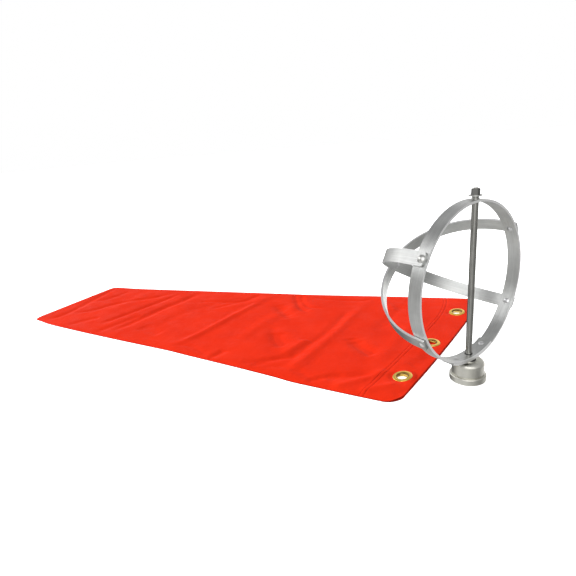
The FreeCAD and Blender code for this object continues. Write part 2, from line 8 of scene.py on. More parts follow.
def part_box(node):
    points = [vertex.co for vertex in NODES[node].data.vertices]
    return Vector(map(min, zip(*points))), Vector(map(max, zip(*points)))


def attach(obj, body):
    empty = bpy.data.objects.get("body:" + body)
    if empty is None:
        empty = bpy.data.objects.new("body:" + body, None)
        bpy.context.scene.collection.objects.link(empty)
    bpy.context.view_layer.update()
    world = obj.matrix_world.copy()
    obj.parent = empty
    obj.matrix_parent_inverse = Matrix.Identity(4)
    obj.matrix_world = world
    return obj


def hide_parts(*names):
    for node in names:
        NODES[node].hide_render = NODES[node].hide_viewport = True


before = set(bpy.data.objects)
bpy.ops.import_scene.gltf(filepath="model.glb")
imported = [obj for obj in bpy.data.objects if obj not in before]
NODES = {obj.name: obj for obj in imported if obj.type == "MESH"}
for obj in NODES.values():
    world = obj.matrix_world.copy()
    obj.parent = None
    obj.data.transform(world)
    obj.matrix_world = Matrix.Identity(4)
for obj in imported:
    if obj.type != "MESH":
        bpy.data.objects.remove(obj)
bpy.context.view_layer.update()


# ---------------------------------------------------------------- camera, floor and lights

# The camera as fitted to the photograph: place in metres, angles in degrees, lens in millimetres.
CAMERA_PLACE = (0.0404, -0.6459, 0.3545)
CAMERA_HEADING = 26.9
CAMERA_DIP = 17.694
CAMERA_ROLL = -4.899
CAMERA_LENS = 28.125

FLOOR_REACH = 30.0
FLOOR_GLOW = 0.75
SUN_STRENGTH = 4.6
SUN_SPREAD = 22
SUN_TRAVEL = (1.0, -0.30, -0.60)


def make_camera():
    """The camera: close to the ground and near the frame, tipped a little to one side."""
    data = bpy.data.cameras.new("camera")
    data.sensor_width = 36.0
    data.lens = CAMERA_LENS
    data.clip_start = 0.01
    camera = bpy.data.objects.new("camera", data)
    turn = (Matrix.Rotation(math.radians(CAMERA_HEADING), 4, "Z")
            @ Matrix.Rotation(math.radians(90.0 - CAMERA_DIP), 4, "X")
            @ Matrix.Rotation(math.radians(CAMERA_ROLL), 4, "Z"))
    camera.matrix_world = Matrix.Translation(CAMERA_PLACE) @ turn
    bpy.context.scene.collection.objects.link(camera)
    bpy.context.scene.camera = camera


def make_mesh(name, vertices, faces, smooth=True):
    """A mesh object in the row frame."""
    mesh = bpy.data.meshes.new(name)
    mesh.from_pydata([tuple(v) for v in vertices], [], [tuple(f) for f in faces])
    mesh.validate()
    mesh.update()
    if smooth:
        mesh.polygons.foreach_set("use_smooth", [True] * len(mesh.polygons))
    obj = bpy.data.objects.new(name, mesh)
    bpy.context.scene.collection.objects.link(obj)
    return obj


# Soft bright and dark patches of the room. They were aimed and their levels set so that the metal, seen from
# the camera's place, is light and dark where it is in the photograph. Each row: direction, the cosines to it
# where the patch starts and where it is full, and the share of light it adds.
ROOM_PATCHES = (
    ((-0.90, 0.20, 0.34), 0.93, 0.98, 3.5),
    ((-0.81, -0.29, 0.50), 0.95, 0.985, 4.6),
    ((-0.80, 0.60, 0.06), 0.90, 0.97, 1.2),
    ((-0.62, 0.05, 0.78), 0.93, 0.98, -0.55),
    ((0.19, -0.86, 0.47), 0.70, 1.00, 4.0),
    ((0.33, 0.92, -0.21), 0.90, 0.98, 3.4),
    ((-0.05, 0.95, 0.30), 0.90, 0.98, 1.0),
    ((-0.06, -0.95, -0.34), 0.90, 0.99, 0.7),
    ((-0.78, -0.45, -0.46), 0.87, 0.97, 0.6),
    ((-0.72, 0.55, -0.42), 0.78, 0.95, -0.75),
    ((0.86, 0.00, -0.50), 0.84, 0.96, -0.5),
    ((0.81, 0.42, -0.41), 0.955, 0.99, 0.9),
)

# Grey levels of the room from below (0) to overhead (1).
ROOM_BELOW = (0.03, (0.85, 0.85, 0.84, 1))
ROOM_OVERHEAD = (0.90, (0.54, 0.54, 0.55, 1))
ROOM_LEVELS = ((0.12, 0.85), (0.22, 0.55), (0.30, 0.46), (0.60, 0.42))


def make_floor():
    """A wide pale floor that glows a little and that the metal does not mirror."""
    reach = FLOOR_REACH
    corners = [(-reach, -reach, 0), (reach, -reach, 0), (reach, reach, 0), (-reach, reach, 0)]
    floor = make_mesh("floor", corners, [(0, 1, 2, 3)], smooth=False)
    floor.visible_glossy = False
    paint, surface = shader("floor_paint", (0.93, 0.93, 0.93), 0.9)
    surface.inputs["Specular IOR Level"].default_value = 0.1
    surface.inputs["Emission Color"].default_value = (1.0, 1.0, 1.0, 1)
    surface.inputs["Emission Strength"].default_value = FLOOR_GLOW
    floor.data.materials.append(paint)


def make_room():
    """The world: white to the camera, and a grey room with soft patches to everything else."""
    world = bpy.data.worlds.new("studio")
    world.use_nodes = True
    bpy.context.scene.world = world
    room = world.node_tree.nodes["Background"]
    toward = add(world, "TexCoord").outputs["Generated"]
    split = add(world, "SeparateXYZ")
    link(world, toward, split.inputs[0])
    ramp = add(world, "ValToRGB")
    link(world, spread(world, split.outputs["Z"], -1.0, 1.0, 0.0, 1.0), ramp.inputs[0])
    stops = ramp.color_ramp.elements
    stops[0].position, stops[0].color = ROOM_BELOW
    stops[1].position, stops[1].color = ROOM_OVERHEAD
    for position, level in ROOM_LEVELS:
        stops.new(position).color = (level, level, level, 1)
    strength = None
    for direction, start, end, level in ROOM_PATCHES:
        cosine = add(world, "VectorMath", operation="DOT_PRODUCT")
        link(world, toward, cosine.inputs[0])
        cosine.inputs[1].default_value = Vector(direction).normalized()
        total = add(world, "Math")
        total.inputs[1].default_value = 1.0
        patch = spread(world, cosine.outputs["Value"], start, end, 0.0, level, soft=True)
        link(world, patch, total.inputs[0])
        if strength:
            link(world, strength, total.inputs[1])
        strength = total.outputs[0]
    link(world, ramp.outputs[0], room.inputs["Color"])
    link(world, strength, room.inputs["Strength"])
    backdrop = add(world, "Background", Color=(1, 1, 1, 1))
    choice = add(world, "MixShader")
    link(world, add(world, "LightPath").outputs["Is Camera Ray"], choice.inputs[0])
    link(world, room.outputs[0], choice.inputs[1])
    link(world, backdrop.outputs[0], choice.inputs[2])
    link(world, choice.outputs[0], world.node_tree.nodes["World Output"].inputs["Surface"])


def make_sun():
    """One soft light from the left, which the metal does not mirror."""
    sun = bpy.data.lights.new("key", "SUN")
    sun.energy = SUN_STRENGTH
    sun.angle = math.radians(SUN_SPREAD)
    key = bpy.data.objects.new("key", sun)
    key.rotation_euler = Vector(SUN_TRAVEL).to_track_quat("-Z", "Y").to_euler()
    key.visible_glossy = False
    bpy.context.scene.collection.objects.link(key)


def make_studio():
    """Floor, room and light, shown with plain colours."""
    make_floor()
    make_room()
    make_sun()
    settings = bpy.context.scene.view_settings
    settings.view_transform = "Standard"
    settings.look = "None"


# ---------------------------------------------------------------- materials

# Sockets of a colour Mix node, whose names its other kinds share.
FIRST_COLOUR, SECOND_COLOUR, MIXED_COLOUR = 6, 7, 2
# Near-white base colour painted on the bars' edge faces as a highlight.
EDGE_PAINTED_HIGHLIGHT = (0.93, 0.93, 0.92, 1)
CLEAN_BRASS = (1.0, 0.71, 0.17)
TARNISHED_BRASS = (0.86, 0.52, 0.08)


def shader(name, colour, roughness, metallic=0.0):
    """A new material and its main shader node."""
    material = bpy.data.materials.new(name)
    material.use_nodes = True
    surface = material.node_tree.nodes["Principled BSDF"]
    surface.inputs["Base Color"].default_value = (*colour, 1)
    surface.inputs["Roughness"].default_value = roughness
    surface.inputs["Metallic"].default_value = metallic
    return material, surface


def add(material, kind, **values):
    """A node of that kind in a material or the world; each value sets the property or input it names."""
    node = material.node_tree.nodes.new("ShaderNode" + kind)
    for name, value in values.items():
        if hasattr(node, name):
            setattr(node, name, value)
        else:
            node.inputs[name.replace("_", " ")].default_value = value
    return node


def link(material, output, target):
    """Joins an output to an input."""
    material.node_tree.links.new(output, target)


def spread(material, value, first, last, low, high, soft=False):
    """A value's run from first to last turned into one from low to high, held at both ends."""
    mapped = add(material, "MapRange")
    if soft:
        mapped.interpolation_type = "SMOOTHSTEP"
    for name, number in zip(("From Min", "From Max", "To Min", "To Max"), (first, last, low, high)):
        mapped.inputs[name].default_value = number
    link(material, value, mapped.inputs["Value"])
    return mapped.outputs["Result"]


def coordinates(material, turn=(0, 0, 0), scale=(1, 1, 1), place=(0, 0, 0)):
    """The object's own coordinates, moved, turned back and divided by a scale in metres."""
    source = add(material, "TexCoord")
    mapping = add(material, "Mapping", vector_type="TEXTURE")
    mapping.inputs["Location"].default_value = place
    mapping.inputs["Rotation"].default_value = turn
    mapping.inputs["Scale"].default_value = scale
    link(material, source.outputs["Object"], mapping.inputs["Vector"])
    return mapping.outputs["Vector"]


def speckle(material, vector, scale=1.0, detail=3.0, low=0.0, high=1.0, first=0.35, last=0.65):
    """Noise between two values."""
    pattern = add(material, "TexNoise", Scale=scale, Detail=detail)
    link(material, vector, pattern.inputs["Vector"])
    return spread(material, pattern.outputs["Fac"], first, last, low, high)


def blended(material, amount, first, second):
    """A colour between two, by an amount from 0 to 1."""
    mix = add(material, "Mix", data_type="RGBA")
    link(material, amount, mix.inputs["Factor"])
    mix.inputs[FIRST_COLOUR].default_value = (*first, 1)
    mix.inputs[SECOND_COLOUR].default_value = (*second, 1)
    return mix.outputs[MIXED_COLOUR]


def bump(material, surface, height, distance, strength=1.0):
    """Adds relief to a shader, on top of what it has."""
    relief = add(material, "Bump", Strength=strength, Distance=distance)
    before = surface.inputs["Normal"]
    if before.is_linked:
        link(material, before.links[0].from_socket, relief.inputs["Normal"])
    link(material, height, relief.inputs["Height"])
    link(material, relief.outputs["Normal"], before)


def plane_turn(node):
    """Euler turn whose Z axis is the way a bent bar's width runs: its points spread least that way."""
    points = np.array([v.co for v in NODES[node].data.vertices], float)
    axes = np.linalg.eigh(np.cov(points.T))[1]
    across = Vector(axes[:, 0]).normalized()
    return across.to_track_quat("Z", "Y").to_euler()


def bar_metal(name, turn, colour, dark):
    """Rolled flat bar: grain along it, faint marks across it, cloudy patches, and a near-white painted
    highlight on its edge faces.
    """
    material, surface = shader(name, colour, 0.45, 1.0)
    grain = coordinates(material, turn, (0.05, 0.05, 0.0005))
    coarse = coordinates(material, turn, (0.09, 0.09, 0.0022))
    cross = coordinates(material, turn, (0.0011, 0.0011, 0.03))
    plain = coordinates(material)
    streaks = coordinates(material, turn, (0.06, 0.06, 0.001))
    cloud = add(material, "Math", operation="ADD")
    link(material, speckle(material, plain, 38.0, 4.0, 0.0, 0.5), cloud.inputs[0])
    link(material, speckle(material, streaks, 1.0, 2.0, 0.0, 0.5), cloud.inputs[1])
    width_axis = add(material, "VectorMath", operation="DOT_PRODUCT")
    link(material, add(material, "TexCoord").outputs["Normal"], width_axis.inputs[0])
    width_axis.inputs[1].default_value = turn.to_matrix() @ Vector((0, 0, 1))
    # Painted highlight: edge faces, whose normals run along the bar's width, get a near-white base colour.
    edge = add(material, "Math", operation="ABSOLUTE")
    link(material, width_axis.outputs["Value"], edge.inputs[0])
    tone = add(material, "Mix", data_type="RGBA")
    painted_edge_highlight = spread(material, edge.outputs[0], 0.6, 0.85, 0.0, 1.0, soft=True)
    link(material, painted_edge_highlight, tone.inputs["Factor"])
    link(material, blended(material, cloud.outputs[0], colour, dark), tone.inputs[FIRST_COLOUR])
    tone.inputs[SECOND_COLOUR].default_value = EDGE_PAINTED_HIGHLIGHT
    link(material, tone.outputs[MIXED_COLOUR], surface.inputs["Base Color"])
    rough = add(material, "Math", operation="ADD")
    link(material, speckle(material, grain, 1.0, 2.0, 0.29, 0.40), rough.inputs[0])
    link(material, speckle(material, cross, 1.0, 2.0, 0.0, 0.10, 0.45, 0.75), rough.inputs[1])
    link(material, rough.outputs[0], surface.inputs["Roughness"])
    bump(material, surface, speckle(material, grain, 1.0, 2.0), 0.00003, 0.9)
    bump(material, surface, speckle(material, coarse, 1.0, 3.0), 0.0001, 0.8)
    bump(material, surface, speckle(material, cross, 1.0, 2.0), 0.00002, 0.5)
    bump(material, surface, speckle(material, plain, 30.0, 2.0), 0.00008, 0.4)
    return material


def turned_metal(name, colour, roughness, pitch):
    """Ground or turned steel with rings round its vertical axis, about a pitch in metres apart."""
    material, surface = shader(name, colour, roughness, 1.0)
    rings = coordinates(material, scale=(0.02, 0.02, pitch))
    plain = coordinates(material)
    link(material, speckle(material, rings, 1.0, 2.0, roughness - 0.03, roughness + 0.04),
         surface.inputs["Roughness"])
    link(material, blended(material, speckle(material, plain, 90.0, 3.0), colour, [0.86 * c for c in colour]),
         surface.inputs["Base Color"])
    return material


def cast_metal():
    """Blasted casting: a warm grey satin skin with fine pits and a soft cloudy tone."""
    colour = (0.68, 0.67, 0.61)
    material, surface = shader("cast_cap", colour, 0.36, 1.0)
    plain = coordinates(material)
    link(material, blended(material, speckle(material, plain, 55.0, 4.0), colour, (0.58, 0.57, 0.51)),
         surface.inputs["Base Color"])
    link(material, speckle(material, plain, 700.0, 3.0, 0.30, 0.44), surface.inputs["Roughness"])
    bump(material, surface, speckle(material, plain, 900.0, 3.0), 0.00012, 0.5)
    bump(material, surface, speckle(material, plain, 120.0, 3.0), 0.0003, 0.35)
    return material


def brass_metal(name, colour, tarnish):
    """Pressed brass with fine pits and some tarnish."""
    material, surface = shader(name, colour, 0.18, 1.0)
    plain = coordinates(material)
    link(material, blended(material, speckle(material, plain, 260.0, 4.0), colour, tarnish),
         surface.inputs["Base Color"])
    link(material, speckle(material, plain, 900.0, 2.0, 0.12, 0.26), surface.inputs["Roughness"])
    bump(material, surface, speckle(material, plain, 1400.0, 2.0), 0.00003, 0.6)
    return material


def plastic(name, colour):
    """Moulded plastic with a fine matt grain."""
    material, surface = shader(name, colour, 0.55)
    plain = coordinates(material)
    link(material, speckle(material, plain, 1500.0, 3.0, 0.45, 0.68), surface.inputs["Roughness"])
    bump(material, surface, speckle(material, plain, 2500.0, 3.0), 0.00003, 0.5)
    return material


def nylon_cloth(name, colour, folded):
    """Coated nylon: an even plain weave with small crinkles, and painted shade where it turns down at its
    folds.
    """
    material, surface = shader(name, colour, 0.6)
    surface.inputs["Specular IOR Level"].default_value = 0.025
    plain = coordinates(material)
    upright = add(material, "SeparateXYZ")
    link(material, add(material, "TexCoord").outputs["Normal"], upright.inputs[0])
    shaded = add(material, "VectorMath", operation="SCALE")
    tone = blended(material, speckle(material, plain, 14.0, 4.0), colour, folded)
    link(material, tone, shaded.inputs[0])
    # Painted shade: the base colour falls to 0.3 of itself where the surface turns from upward to sideways at
    # the folds.
    fold_painted_shade = spread(material, upright.outputs["Z"], 0.35, 0.93, 0.30, 1.0, soft=True)
    link(material, fold_painted_shade, shaded.inputs["Scale"])
    link(material, shaded.outputs[0], surface.inputs["Base Color"])
    link(material, speckle(material, plain, 30.0, 3.0, 0.5, 0.66), surface.inputs["Roughness"])
    for axis in ("X", "Y"):
        thread = add(material, "TexWave", bands_direction=axis, Scale=520.0, Distortion=0.4, Detail=1.0)
        link(material, plain, thread.inputs["Vector"])
        bump(material, surface, thread.outputs["Fac"], 0.00004, 0.35)
    bump(material, surface, speckle(material, plain, 110.0, 4.0), 0.0006, 0.35)
    return material


def paint_nodes():
    """Gives each carried-over CAD part its finish."""
    bar = (0.58, 0.585, 0.57)
    dimmer = (0.43, 0.435, 0.425)
    for node in ("ring_strap", "hoop_outer", "hoop_inner"):
        dress(node, bar_metal(node + "_bar", plane_turn(node), bar, dimmer))
    rod = turned_metal("ground_rod", (0.38, 0.375, 0.35), 0.20, 0.004)
    dark_steel = turned_metal("dark_lock_nut", (0.17, 0.168, 0.16), 0.22, 0.004)
    zinc = turned_metal("zinc_plate", (0.66, 0.66, 0.63), 0.3, 0.0008)
    rivet = turned_metal("rivet_head", (0.74, 0.74, 0.74), 0.3, 0.0015)
    black = plastic("black_bush", (0.015, 0.015, 0.016))
    dress("spindle_rod", rod)
    dress("top_lock_nut", dark_steel)
    for node in ("spindle_lock_washer", "spindle_jam_nut", "thrust_washer", "top_washer",
                 "hoop_screw", "hoop_screw_washer", "hoop_screw_nut"):
        dress(node, zinc)
    for node in ("ring_lap_rivets", "hoop_rivets", "pole_rivet"):
        dress(node, rivet)
    for node in ("bearing_washer", "bottom_bush"):
        dress(node, black)
    dress("top_bush", zinc)
    dress("lock_nut_insert", plastic("nylon_insert", (0.7, 0.69, 0.64)))
    dress("pipe_cap", cast_metal())
    for node in ("eyelets_lower", "eyelet_washers_lower"):
        dress(node, brass_metal(node + "_brass", CLEAN_BRASS, TARNISHED_BRASS))


def thread_paint():
    """Sewing thread: darker than the cloth, with a twisted lay."""
    material, surface = shader("sewing_thread", (0.26, 0.008, 0.004), 0.55)
    surface.inputs["Specular IOR Level"].default_value = 0.05
    plain = coordinates(material)
    twist = add(material, "TexWave", bands_direction="DIAGONAL", Scale=700.0, Distortion=0.3)
    link(material, plain, twist.inputs["Vector"])
    bump(material, surface, twist.outputs["Fac"], 0.00006, 0.5)
    return material


def dress(node, material):
    """Puts one material on a CAD part."""
    slots = NODES[node].material_slots
    if not slots:
        NODES[node].data.materials.append(material)
    for slot in slots:
        slot.material = material


# ---------------------------------------------------------------- wind cone

# Lengths in this part are millimetres in the cone's own axes: x from tail to mouth, y to the far side.
MM = 0.001
CLOTH_THICKNESS = 0.24
NEAR_EDGE = ((-20, -124), (3, -128.5), (60, -141), (110, -147), (217, -158), (319, -167),
             (452, -177.5), (494, -183.5), (607, -197), (690, -208), (722, -214.5), (816, -222),
             (900, -227.5), (980, -236))
FAR_EDGE = ((-20, 122.5), (11, 124), (100, 128.5), (200, 139), (300, 150), (400, 160.5),
            (500, 171.5), (600, 182), (700, 196), (790, 209.5), (942, 227.5), (980, 231))
CONE_LENGTH = 920
TAIL_HALF_WIDTH = 127
MOUTH_GAIN = 102
MOUTH_CORNER_NEAR = 21.0
MOUTH_CORNER_FAR = 15.0
TAIL_CORNER = 4.0
MOUTH_HEM = 58.0
TAIL_HEM = 20.0
MOUTH_STITCHES = (50.0, 56.0)
TAIL_STITCHES = (17.0,)
LOWER_LAYER = 0.2
FIELD_PILE = 4.2
LEAST_GAP = 0.6
FACING_GAP = 0.42
FACING_INSET = 0.0026
ROWS_BETWEEN_HEMS = 285
SHARES_BETWEEN_FOLDS = 150
USUAL_HALF_WIDTH = 190

# Folds from packing, placed after the photograph: kind, height, half width, points (x, y). Each fades in and
# out over a share of its length.
FOLD_FADE = 0.12
CREASES = (
    ("dip", 2.2, 9, (21, 112), (36, 19), (58, -93), (40, -129)),
    ("dip", 1.5, 8, (83, 99), (80, 28), (44, -2)),
    ("dip", 2.2, 9, (240, 115), (193, 60), (121, 1), (110, -49), (65, -83)),
    ("dip", 2.5, 9, (254, 122), (240, 55), (224, -18), (208, -84), (200, -120)),
    ("dip", 3.3, 11, (303, 135), (294, 66), (280, 9), (272, -79), (262, -150)),
    ("dip", 1.9, 10, (165, -80), (150, -95), (124, -142)),
    ("dip", 1.9, 9, (256, -40), (244, -106), (228, -158)),
    ("dip", 1.5, 16, (470, 125), (430, 97), (396, 56), (360, 20), (345, -60), (352, -112)),
    ("rise", 1.5, 12, (516, 151), (491, 111), (467, 73), (418, 36)),
    ("rise", 2.6, 9, (504, 130), (489, 51), (474, -38), (466, -111), (443, -165)),
    ("dip", 1.9, 12, (556, 81), (590, 45), (613, 19)),
    ("dip", 1.9, 12, (585, -20), (633, -82), (665, -112)),
    ("dip", 2.4, 8, (560, -150), (556, -172), (545, -186)),
    ("dip", 2.2, 9, (700, -132), (684, -140), (657, -166), (632, -196)),
    ("rise", 1.9, 9, (686, -70), (684, -86), (668, -140)),
    ("dip", 1.8, 9, (716, 130), (717, 51), (716, -26), (703, -76), (694, -139), (690, -180)),
    ("rise", 1.9, 11, (742, 165), (734, 50), (729, -31), (722, -90), (712, -165), (700, -205)),
    ("dip", 1.9, 12, (575, 135), (607, 93), (635, 75)),
    ("dip", 1.9, 12, (765, -40), (771, -51), (806, -80), (830, -98)),
    ("dip", 1.9, 9, (845, -155), (800, -178), (775, -200)),
    ("dip", 1.5, 12, (886, -120), (905, -97), (915, -60)),
    ("rise", 1.5, 14, (600, 150), (588, 60), (560, -40), (566, -120)),
    ("rise", 1.4, 16, (150, 100), (160, 20), (150, -60)),
    ("dip", 1.5, 14, (820, 160), (812, 60), (800, 0)),
    ("rise", 1.5, 14, (870, 130), (858, 40), (842, -60), (836, -130)),
    ("dip", 2.2, 7, (556, 178), (565, 150), (590, 108), (609, 78), (649, 59)),
    ("dip", 1.9, 6, (572, 178), (584, 143), (606, 112), (628, 92), (664, 91)),
    ("dip", 2.0, 7, (598, 166), (640, 150), (667, 150), (730, 156), (752, 186)),
    ("dip", 2.2, 15, (545, 92), (575, 58), (602, 30)),
    ("dip", 2.4, 16, (620, -50), (628, -80), (660, -106)),
    ("dip", 2.2, 12, (773, -48), (796, -80), (825, -96)),
    ("dip", 2.2, 7, (745, -210), (760, -200), (778, -183), (802, -172)),
    ("rise", 1.9, 8, (790, -214), (804, -205), (843, -165), (855, -136)),
    ("dip", 1.1, 7, (615, -190), (631, -176), (670, -149), (691, -146)),
    ("rise", 1.8, 8, (835, -215), (845, -205), (886, -176)),
    ("dip", 2.0, 16, (310, -100), (345, -112), (385, -118)),
    ("dip", 1.9, 7, (400, 30), (418, 53), (463, 117), (470, 150)),
    ("dip", 1.6, 7, (345, 68), (361, 72), (456, 90), (480, 130)),
    ("dip", 1.5, 7, (440, -160), (470, -150), (520, -168), (545, -186)),
    ("dip", 1.4, 8, (880, -210), (905, -190), (935, -170)),
    ("rise", 1.2, 8, (745, 190), (790, 150), (815, 110)),
    ("dip", 1.3, 8, (650, -190), (690, -176), (725, -182), (755, -205)),
)

# Upper eyelets, askew in the cloth: centre (x, y), height of the flange's foot, slopes along x and y.
EYELETS = ((883.4, -155.5, 5.2, 0.13, 0.07), (905.6, -23.5, 4.5, 0.0, 0.05),
           (931.6, 131.8, 5.2, 0.07, 0.12))
LOWER_EYELETS = ((883.4, -155.5), (909.2, -1.5), (931.6, 131.8))
EYELET_SEAT = 15.5
CLOTH_HOLE = 10.5

# An eyelet's section: radius and height above its foot, from the flange's rim inward, down and back.
EYELET_PROFILE = (
    (14.55, -0.02), (14.8, 0.2), (14.75, 0.5), (14.35, 0.85), (13.5, 1.12), (12.3, 1.28),
    (11.0, 1.3), (9.9, 1.16), (9.05, 0.85), (8.45, 0.4), (8.05, -0.1), (7.9, -0.6),
    (7.9, -1.15), (8.1, -1.4), (8.6, -1.48), (9.3, -1.4), (12.4, -1.22), (12.7, -1.1),
    (12.7, -0.9), (12.3, -0.8), (9.0, -0.8), (8.75, -0.7), (8.75, -0.1), (9.0, -0.02),
)
EYELET_SIDES = 72
# Faces nearer the axis than this radius, the flange's inner lip and the barrel, take a much darker brass as
# painted shade inside the hole.
SHADE_PAINTED_WITHIN = 9.95

# Stitches: distance from one to the next, length and radius of one. A section is a share of the length,
# a share of the radius and a lift off the cloth.
STITCH_PITCH, STITCH_LENGTH, STITCH_RADIUS = 3.3, 2.6, 0.21
STITCH_SECTIONS = ((0.0, 0.35, -0.1), (0.16, 0.85, 0.06), (0.5, 1.0, 0.12),
                   (0.84, 0.85, 0.06), (1.0, 0.35, -0.1))
STITCH_SIDES = 6


def cone_origin():
    """The tail's middle on the ground, in the row frame, in metres."""
    low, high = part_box("tail_hem")
    return np.array([low[0], (low[1] + high[1]) / 2, 0.0])


def smooth_line(points, x, reach=14.0):
    """A line through points, read at x, with its corners softened over a reach."""
    xs, ys = np.array(points, float).T
    steps = np.linspace(-1, 1, 9)
    weights = 1 + np.cos(np.pi * steps)
    values = sum(w * np.interp(x + reach * 2 * step, xs, ys) for w, step in zip(weights, steps))
    return values / weights.sum()


def smoothstep(value):
    """0 below 0, 1 above 1, and a soft run between."""
    value = np.clip(value, 0, 1)
    return value * value * (3 - 2 * value)


def waves(x, y, reach_x, reach_y, seed):
    """Soft seeded noise from -1 to 1 over the cloth."""
    values = [noise.noise((a / reach_x, b / reach_y, seed)) for a, b in zip(x.ravel(), y.ravel())]
    return np.array(values).reshape(x.shape)


def rounded_corner(first, second, radius):
    """Bends a grid of distances to a corner's two edges so that the corner is round."""
    a = np.clip(1 - first / radius, 0, 1)
    b = np.clip(1 - second / radius, 0, 1)
    inside = (first < radius) & (second < radius)
    new_first = np.where(inside, radius * (1 - a * np.sqrt(1 - b * b / 2)), first)
    new_second = np.where(inside, radius * (1 - b * np.sqrt(1 - a * a / 2)), second)
    return new_first, new_second


def lay_out(station, across):
    """Flat places (x, y) of a grid of stations along the cone and shares across it, -1 near to 1 far.

    Also each place's distances from the mouth and the tail, and the cone's two edges at its x.
    """
    share, offset = station[:, :1], station[:, 1:]
    across = np.broadcast_to(across, (len(station), across.shape[-1]))
    # The tail's edge leans a little. The mouth's leans more, bows out, and falls back at its far corner.
    tail = 1.5 + 4.0 * across
    mouth = (932.3 + 41.3 * across + 4.4 * (1 - across ** 2)
             - 53.5 * np.clip(across - 0.35, 0, None) ** 2)
    x = tail + share * (mouth - tail) + offset
    width = TAIL_HALF_WIDTH + MOUTH_GAIN * x / CONE_LENGTH
    for side, radius, mouth_end in ((-1, MOUTH_CORNER_NEAR, True), (1, MOUTH_CORNER_FAR, True),
                                    (-1, TAIL_CORNER, False), (1, TAIL_CORNER, False)):
        to_side = (1 - side * across) * width
        to_end = mouth - x if mouth_end else x - tail
        new_end, new_side = rounded_corner(to_end, to_side, radius)
        x = mouth - new_end if mouth_end else tail + new_end
        across = side * (1 - new_side / width)
    near = smooth_line(NEAR_EDGE, x)
    far = smooth_line(FAR_EDGE, x)
    return x, near + (far - near) * (across + 1) / 2, mouth - x, x - tail, near, far


def rounded_line(points):
    """A line through few points, its corners cut off twice."""
    line = np.array(points, float)
    for _ in range(2):
        first = 0.75 * line[:-1] + 0.25 * line[1:]
        second = 0.25 * line[:-1] + 0.75 * line[1:]
        inner = np.stack([first, second], axis=1).reshape(-1, 2)[1:-1]
        line = np.concatenate([line[:1], inner, line[-1:]])
    return line


def crease_height(x, y):
    """Height that the folds add to the upper layer."""
    total = np.zeros_like(x)
    for kind, height, reach, *points in CREASES:
        line = rounded_line(points)
        nearest = np.full_like(x, np.inf)
        share = np.zeros_like(x)
        for k, (start, run) in enumerate(zip(line[:-1], np.diff(line, axis=0))):
            along = np.clip(((x - start[0]) * run[0] + (y - start[1]) * run[1]) / (run @ run), 0, 1)
            away = np.hypot(x - start[0] - along * run[0], y - start[1] - along * run[1])
            closer = away < nearest
            nearest = np.where(closer, away, nearest)
            share = np.where(closer, (k + along) / (len(line) - 1), share)
        ends = smoothstep(share / FOLD_FADE) * smoothstep((1 - share) / FOLD_FADE)
        total += (1 if kind == "rise" else -1) * height * ends * np.exp(-(nearest / reach) ** 2)
    return total


def upper_height(x, y, to_mouth, to_tail, near, far):
    """Height of the middle of the upper layer over the flat grid."""
    side = np.minimum(y - near, far - y)
    # The open cloth lies loosely a few millimetres up, a step higher at both hems and toward the mouth.
    pile = FIELD_PILE + 0.55 * waves(x, y, 90, 170, 3.0) + 0.5 * smoothstep((90 - to_mouth) / 60)
    pile += (0.28 * smoothstep((MOUTH_HEM + 2 - to_mouth) / 3)
             + 0.2 * smoothstep((TAIL_HEM + 1 - to_tail) / 3))
    pile += crease_height(x, y)
    pile += 0.22 * waves(x, y, 26, 48, 8.0) + 0.09 * waves(x, y, 9, 13, 21.0)
    # It drops to its folded sides, its mouth and its tail.
    rim = 0.95 + 0.12 * waves(x, y, 14, 14, 40.0)
    height = rim + (pile - rim) * (1 - np.exp(-side / 6.0))
    height -= 0.3 * np.exp(-(to_mouth / 9.0) ** 2) + 0.7 * np.exp(-(to_tail / 7.0) ** 2)
    # Stitches draw it down, and it puckers beside the mouth's.
    for row in MOUTH_STITCHES:
        height -= 0.45 * np.exp(-((to_mouth - row) / 1.1) ** 2)
        height += 0.3 * np.exp(-((to_mouth - row + 4) / 2.4) ** 2) * waves(x, y, 60, 5.5, 60.0)
    for row in TAIL_STITCHES:
        height -= 0.3 * np.exp(-((to_tail - row) / 1.1) ** 2)
    # Each eyelet holds it flat against the back of its flange.
    for cx, cy, foot, along, off in EYELETS:
        plane = foot + along * (x - cx) + off * (y - cy) - CLOTH_THICKNESS / 2
        seat = smoothstep((EYELET_SEAT + 7 - np.hypot(x - cx, y - cy)) / 7)
        height = height + (plane - height) * seat
    return np.maximum(height, LOWER_LAYER + LEAST_GAP)


def lower_height(x, y):
    """Height of the middle of the lower layer: on the ground, and raised round the lower eyelets' flanges."""
    height = np.full_like(x, LOWER_LAYER)
    for cx, cy in LOWER_EYELETS:
        height += 0.85 * smoothstep((EYELET_SEAT + 12 - np.hypot(x - cx, y - cy)) / 12)
    return height


def hem_rows(stitches, reach):
    """Distances from a hem's edge: close together at its fold and round its stitches."""
    rows = [0.0, 0.25, 0.7, 1.6, 3.0]
    while rows[-1] < reach:
        rows.append(rows[-1] + 2.8)
    keep = [r for r in rows if all(abs(r - row) > 2.2 for row in stitches)]
    beside = (-1.9, -1.1, -0.5, 0.0, 0.5, 1.1, 1.9)
    return sorted(keep + [row + step for row in stitches for step in beside])


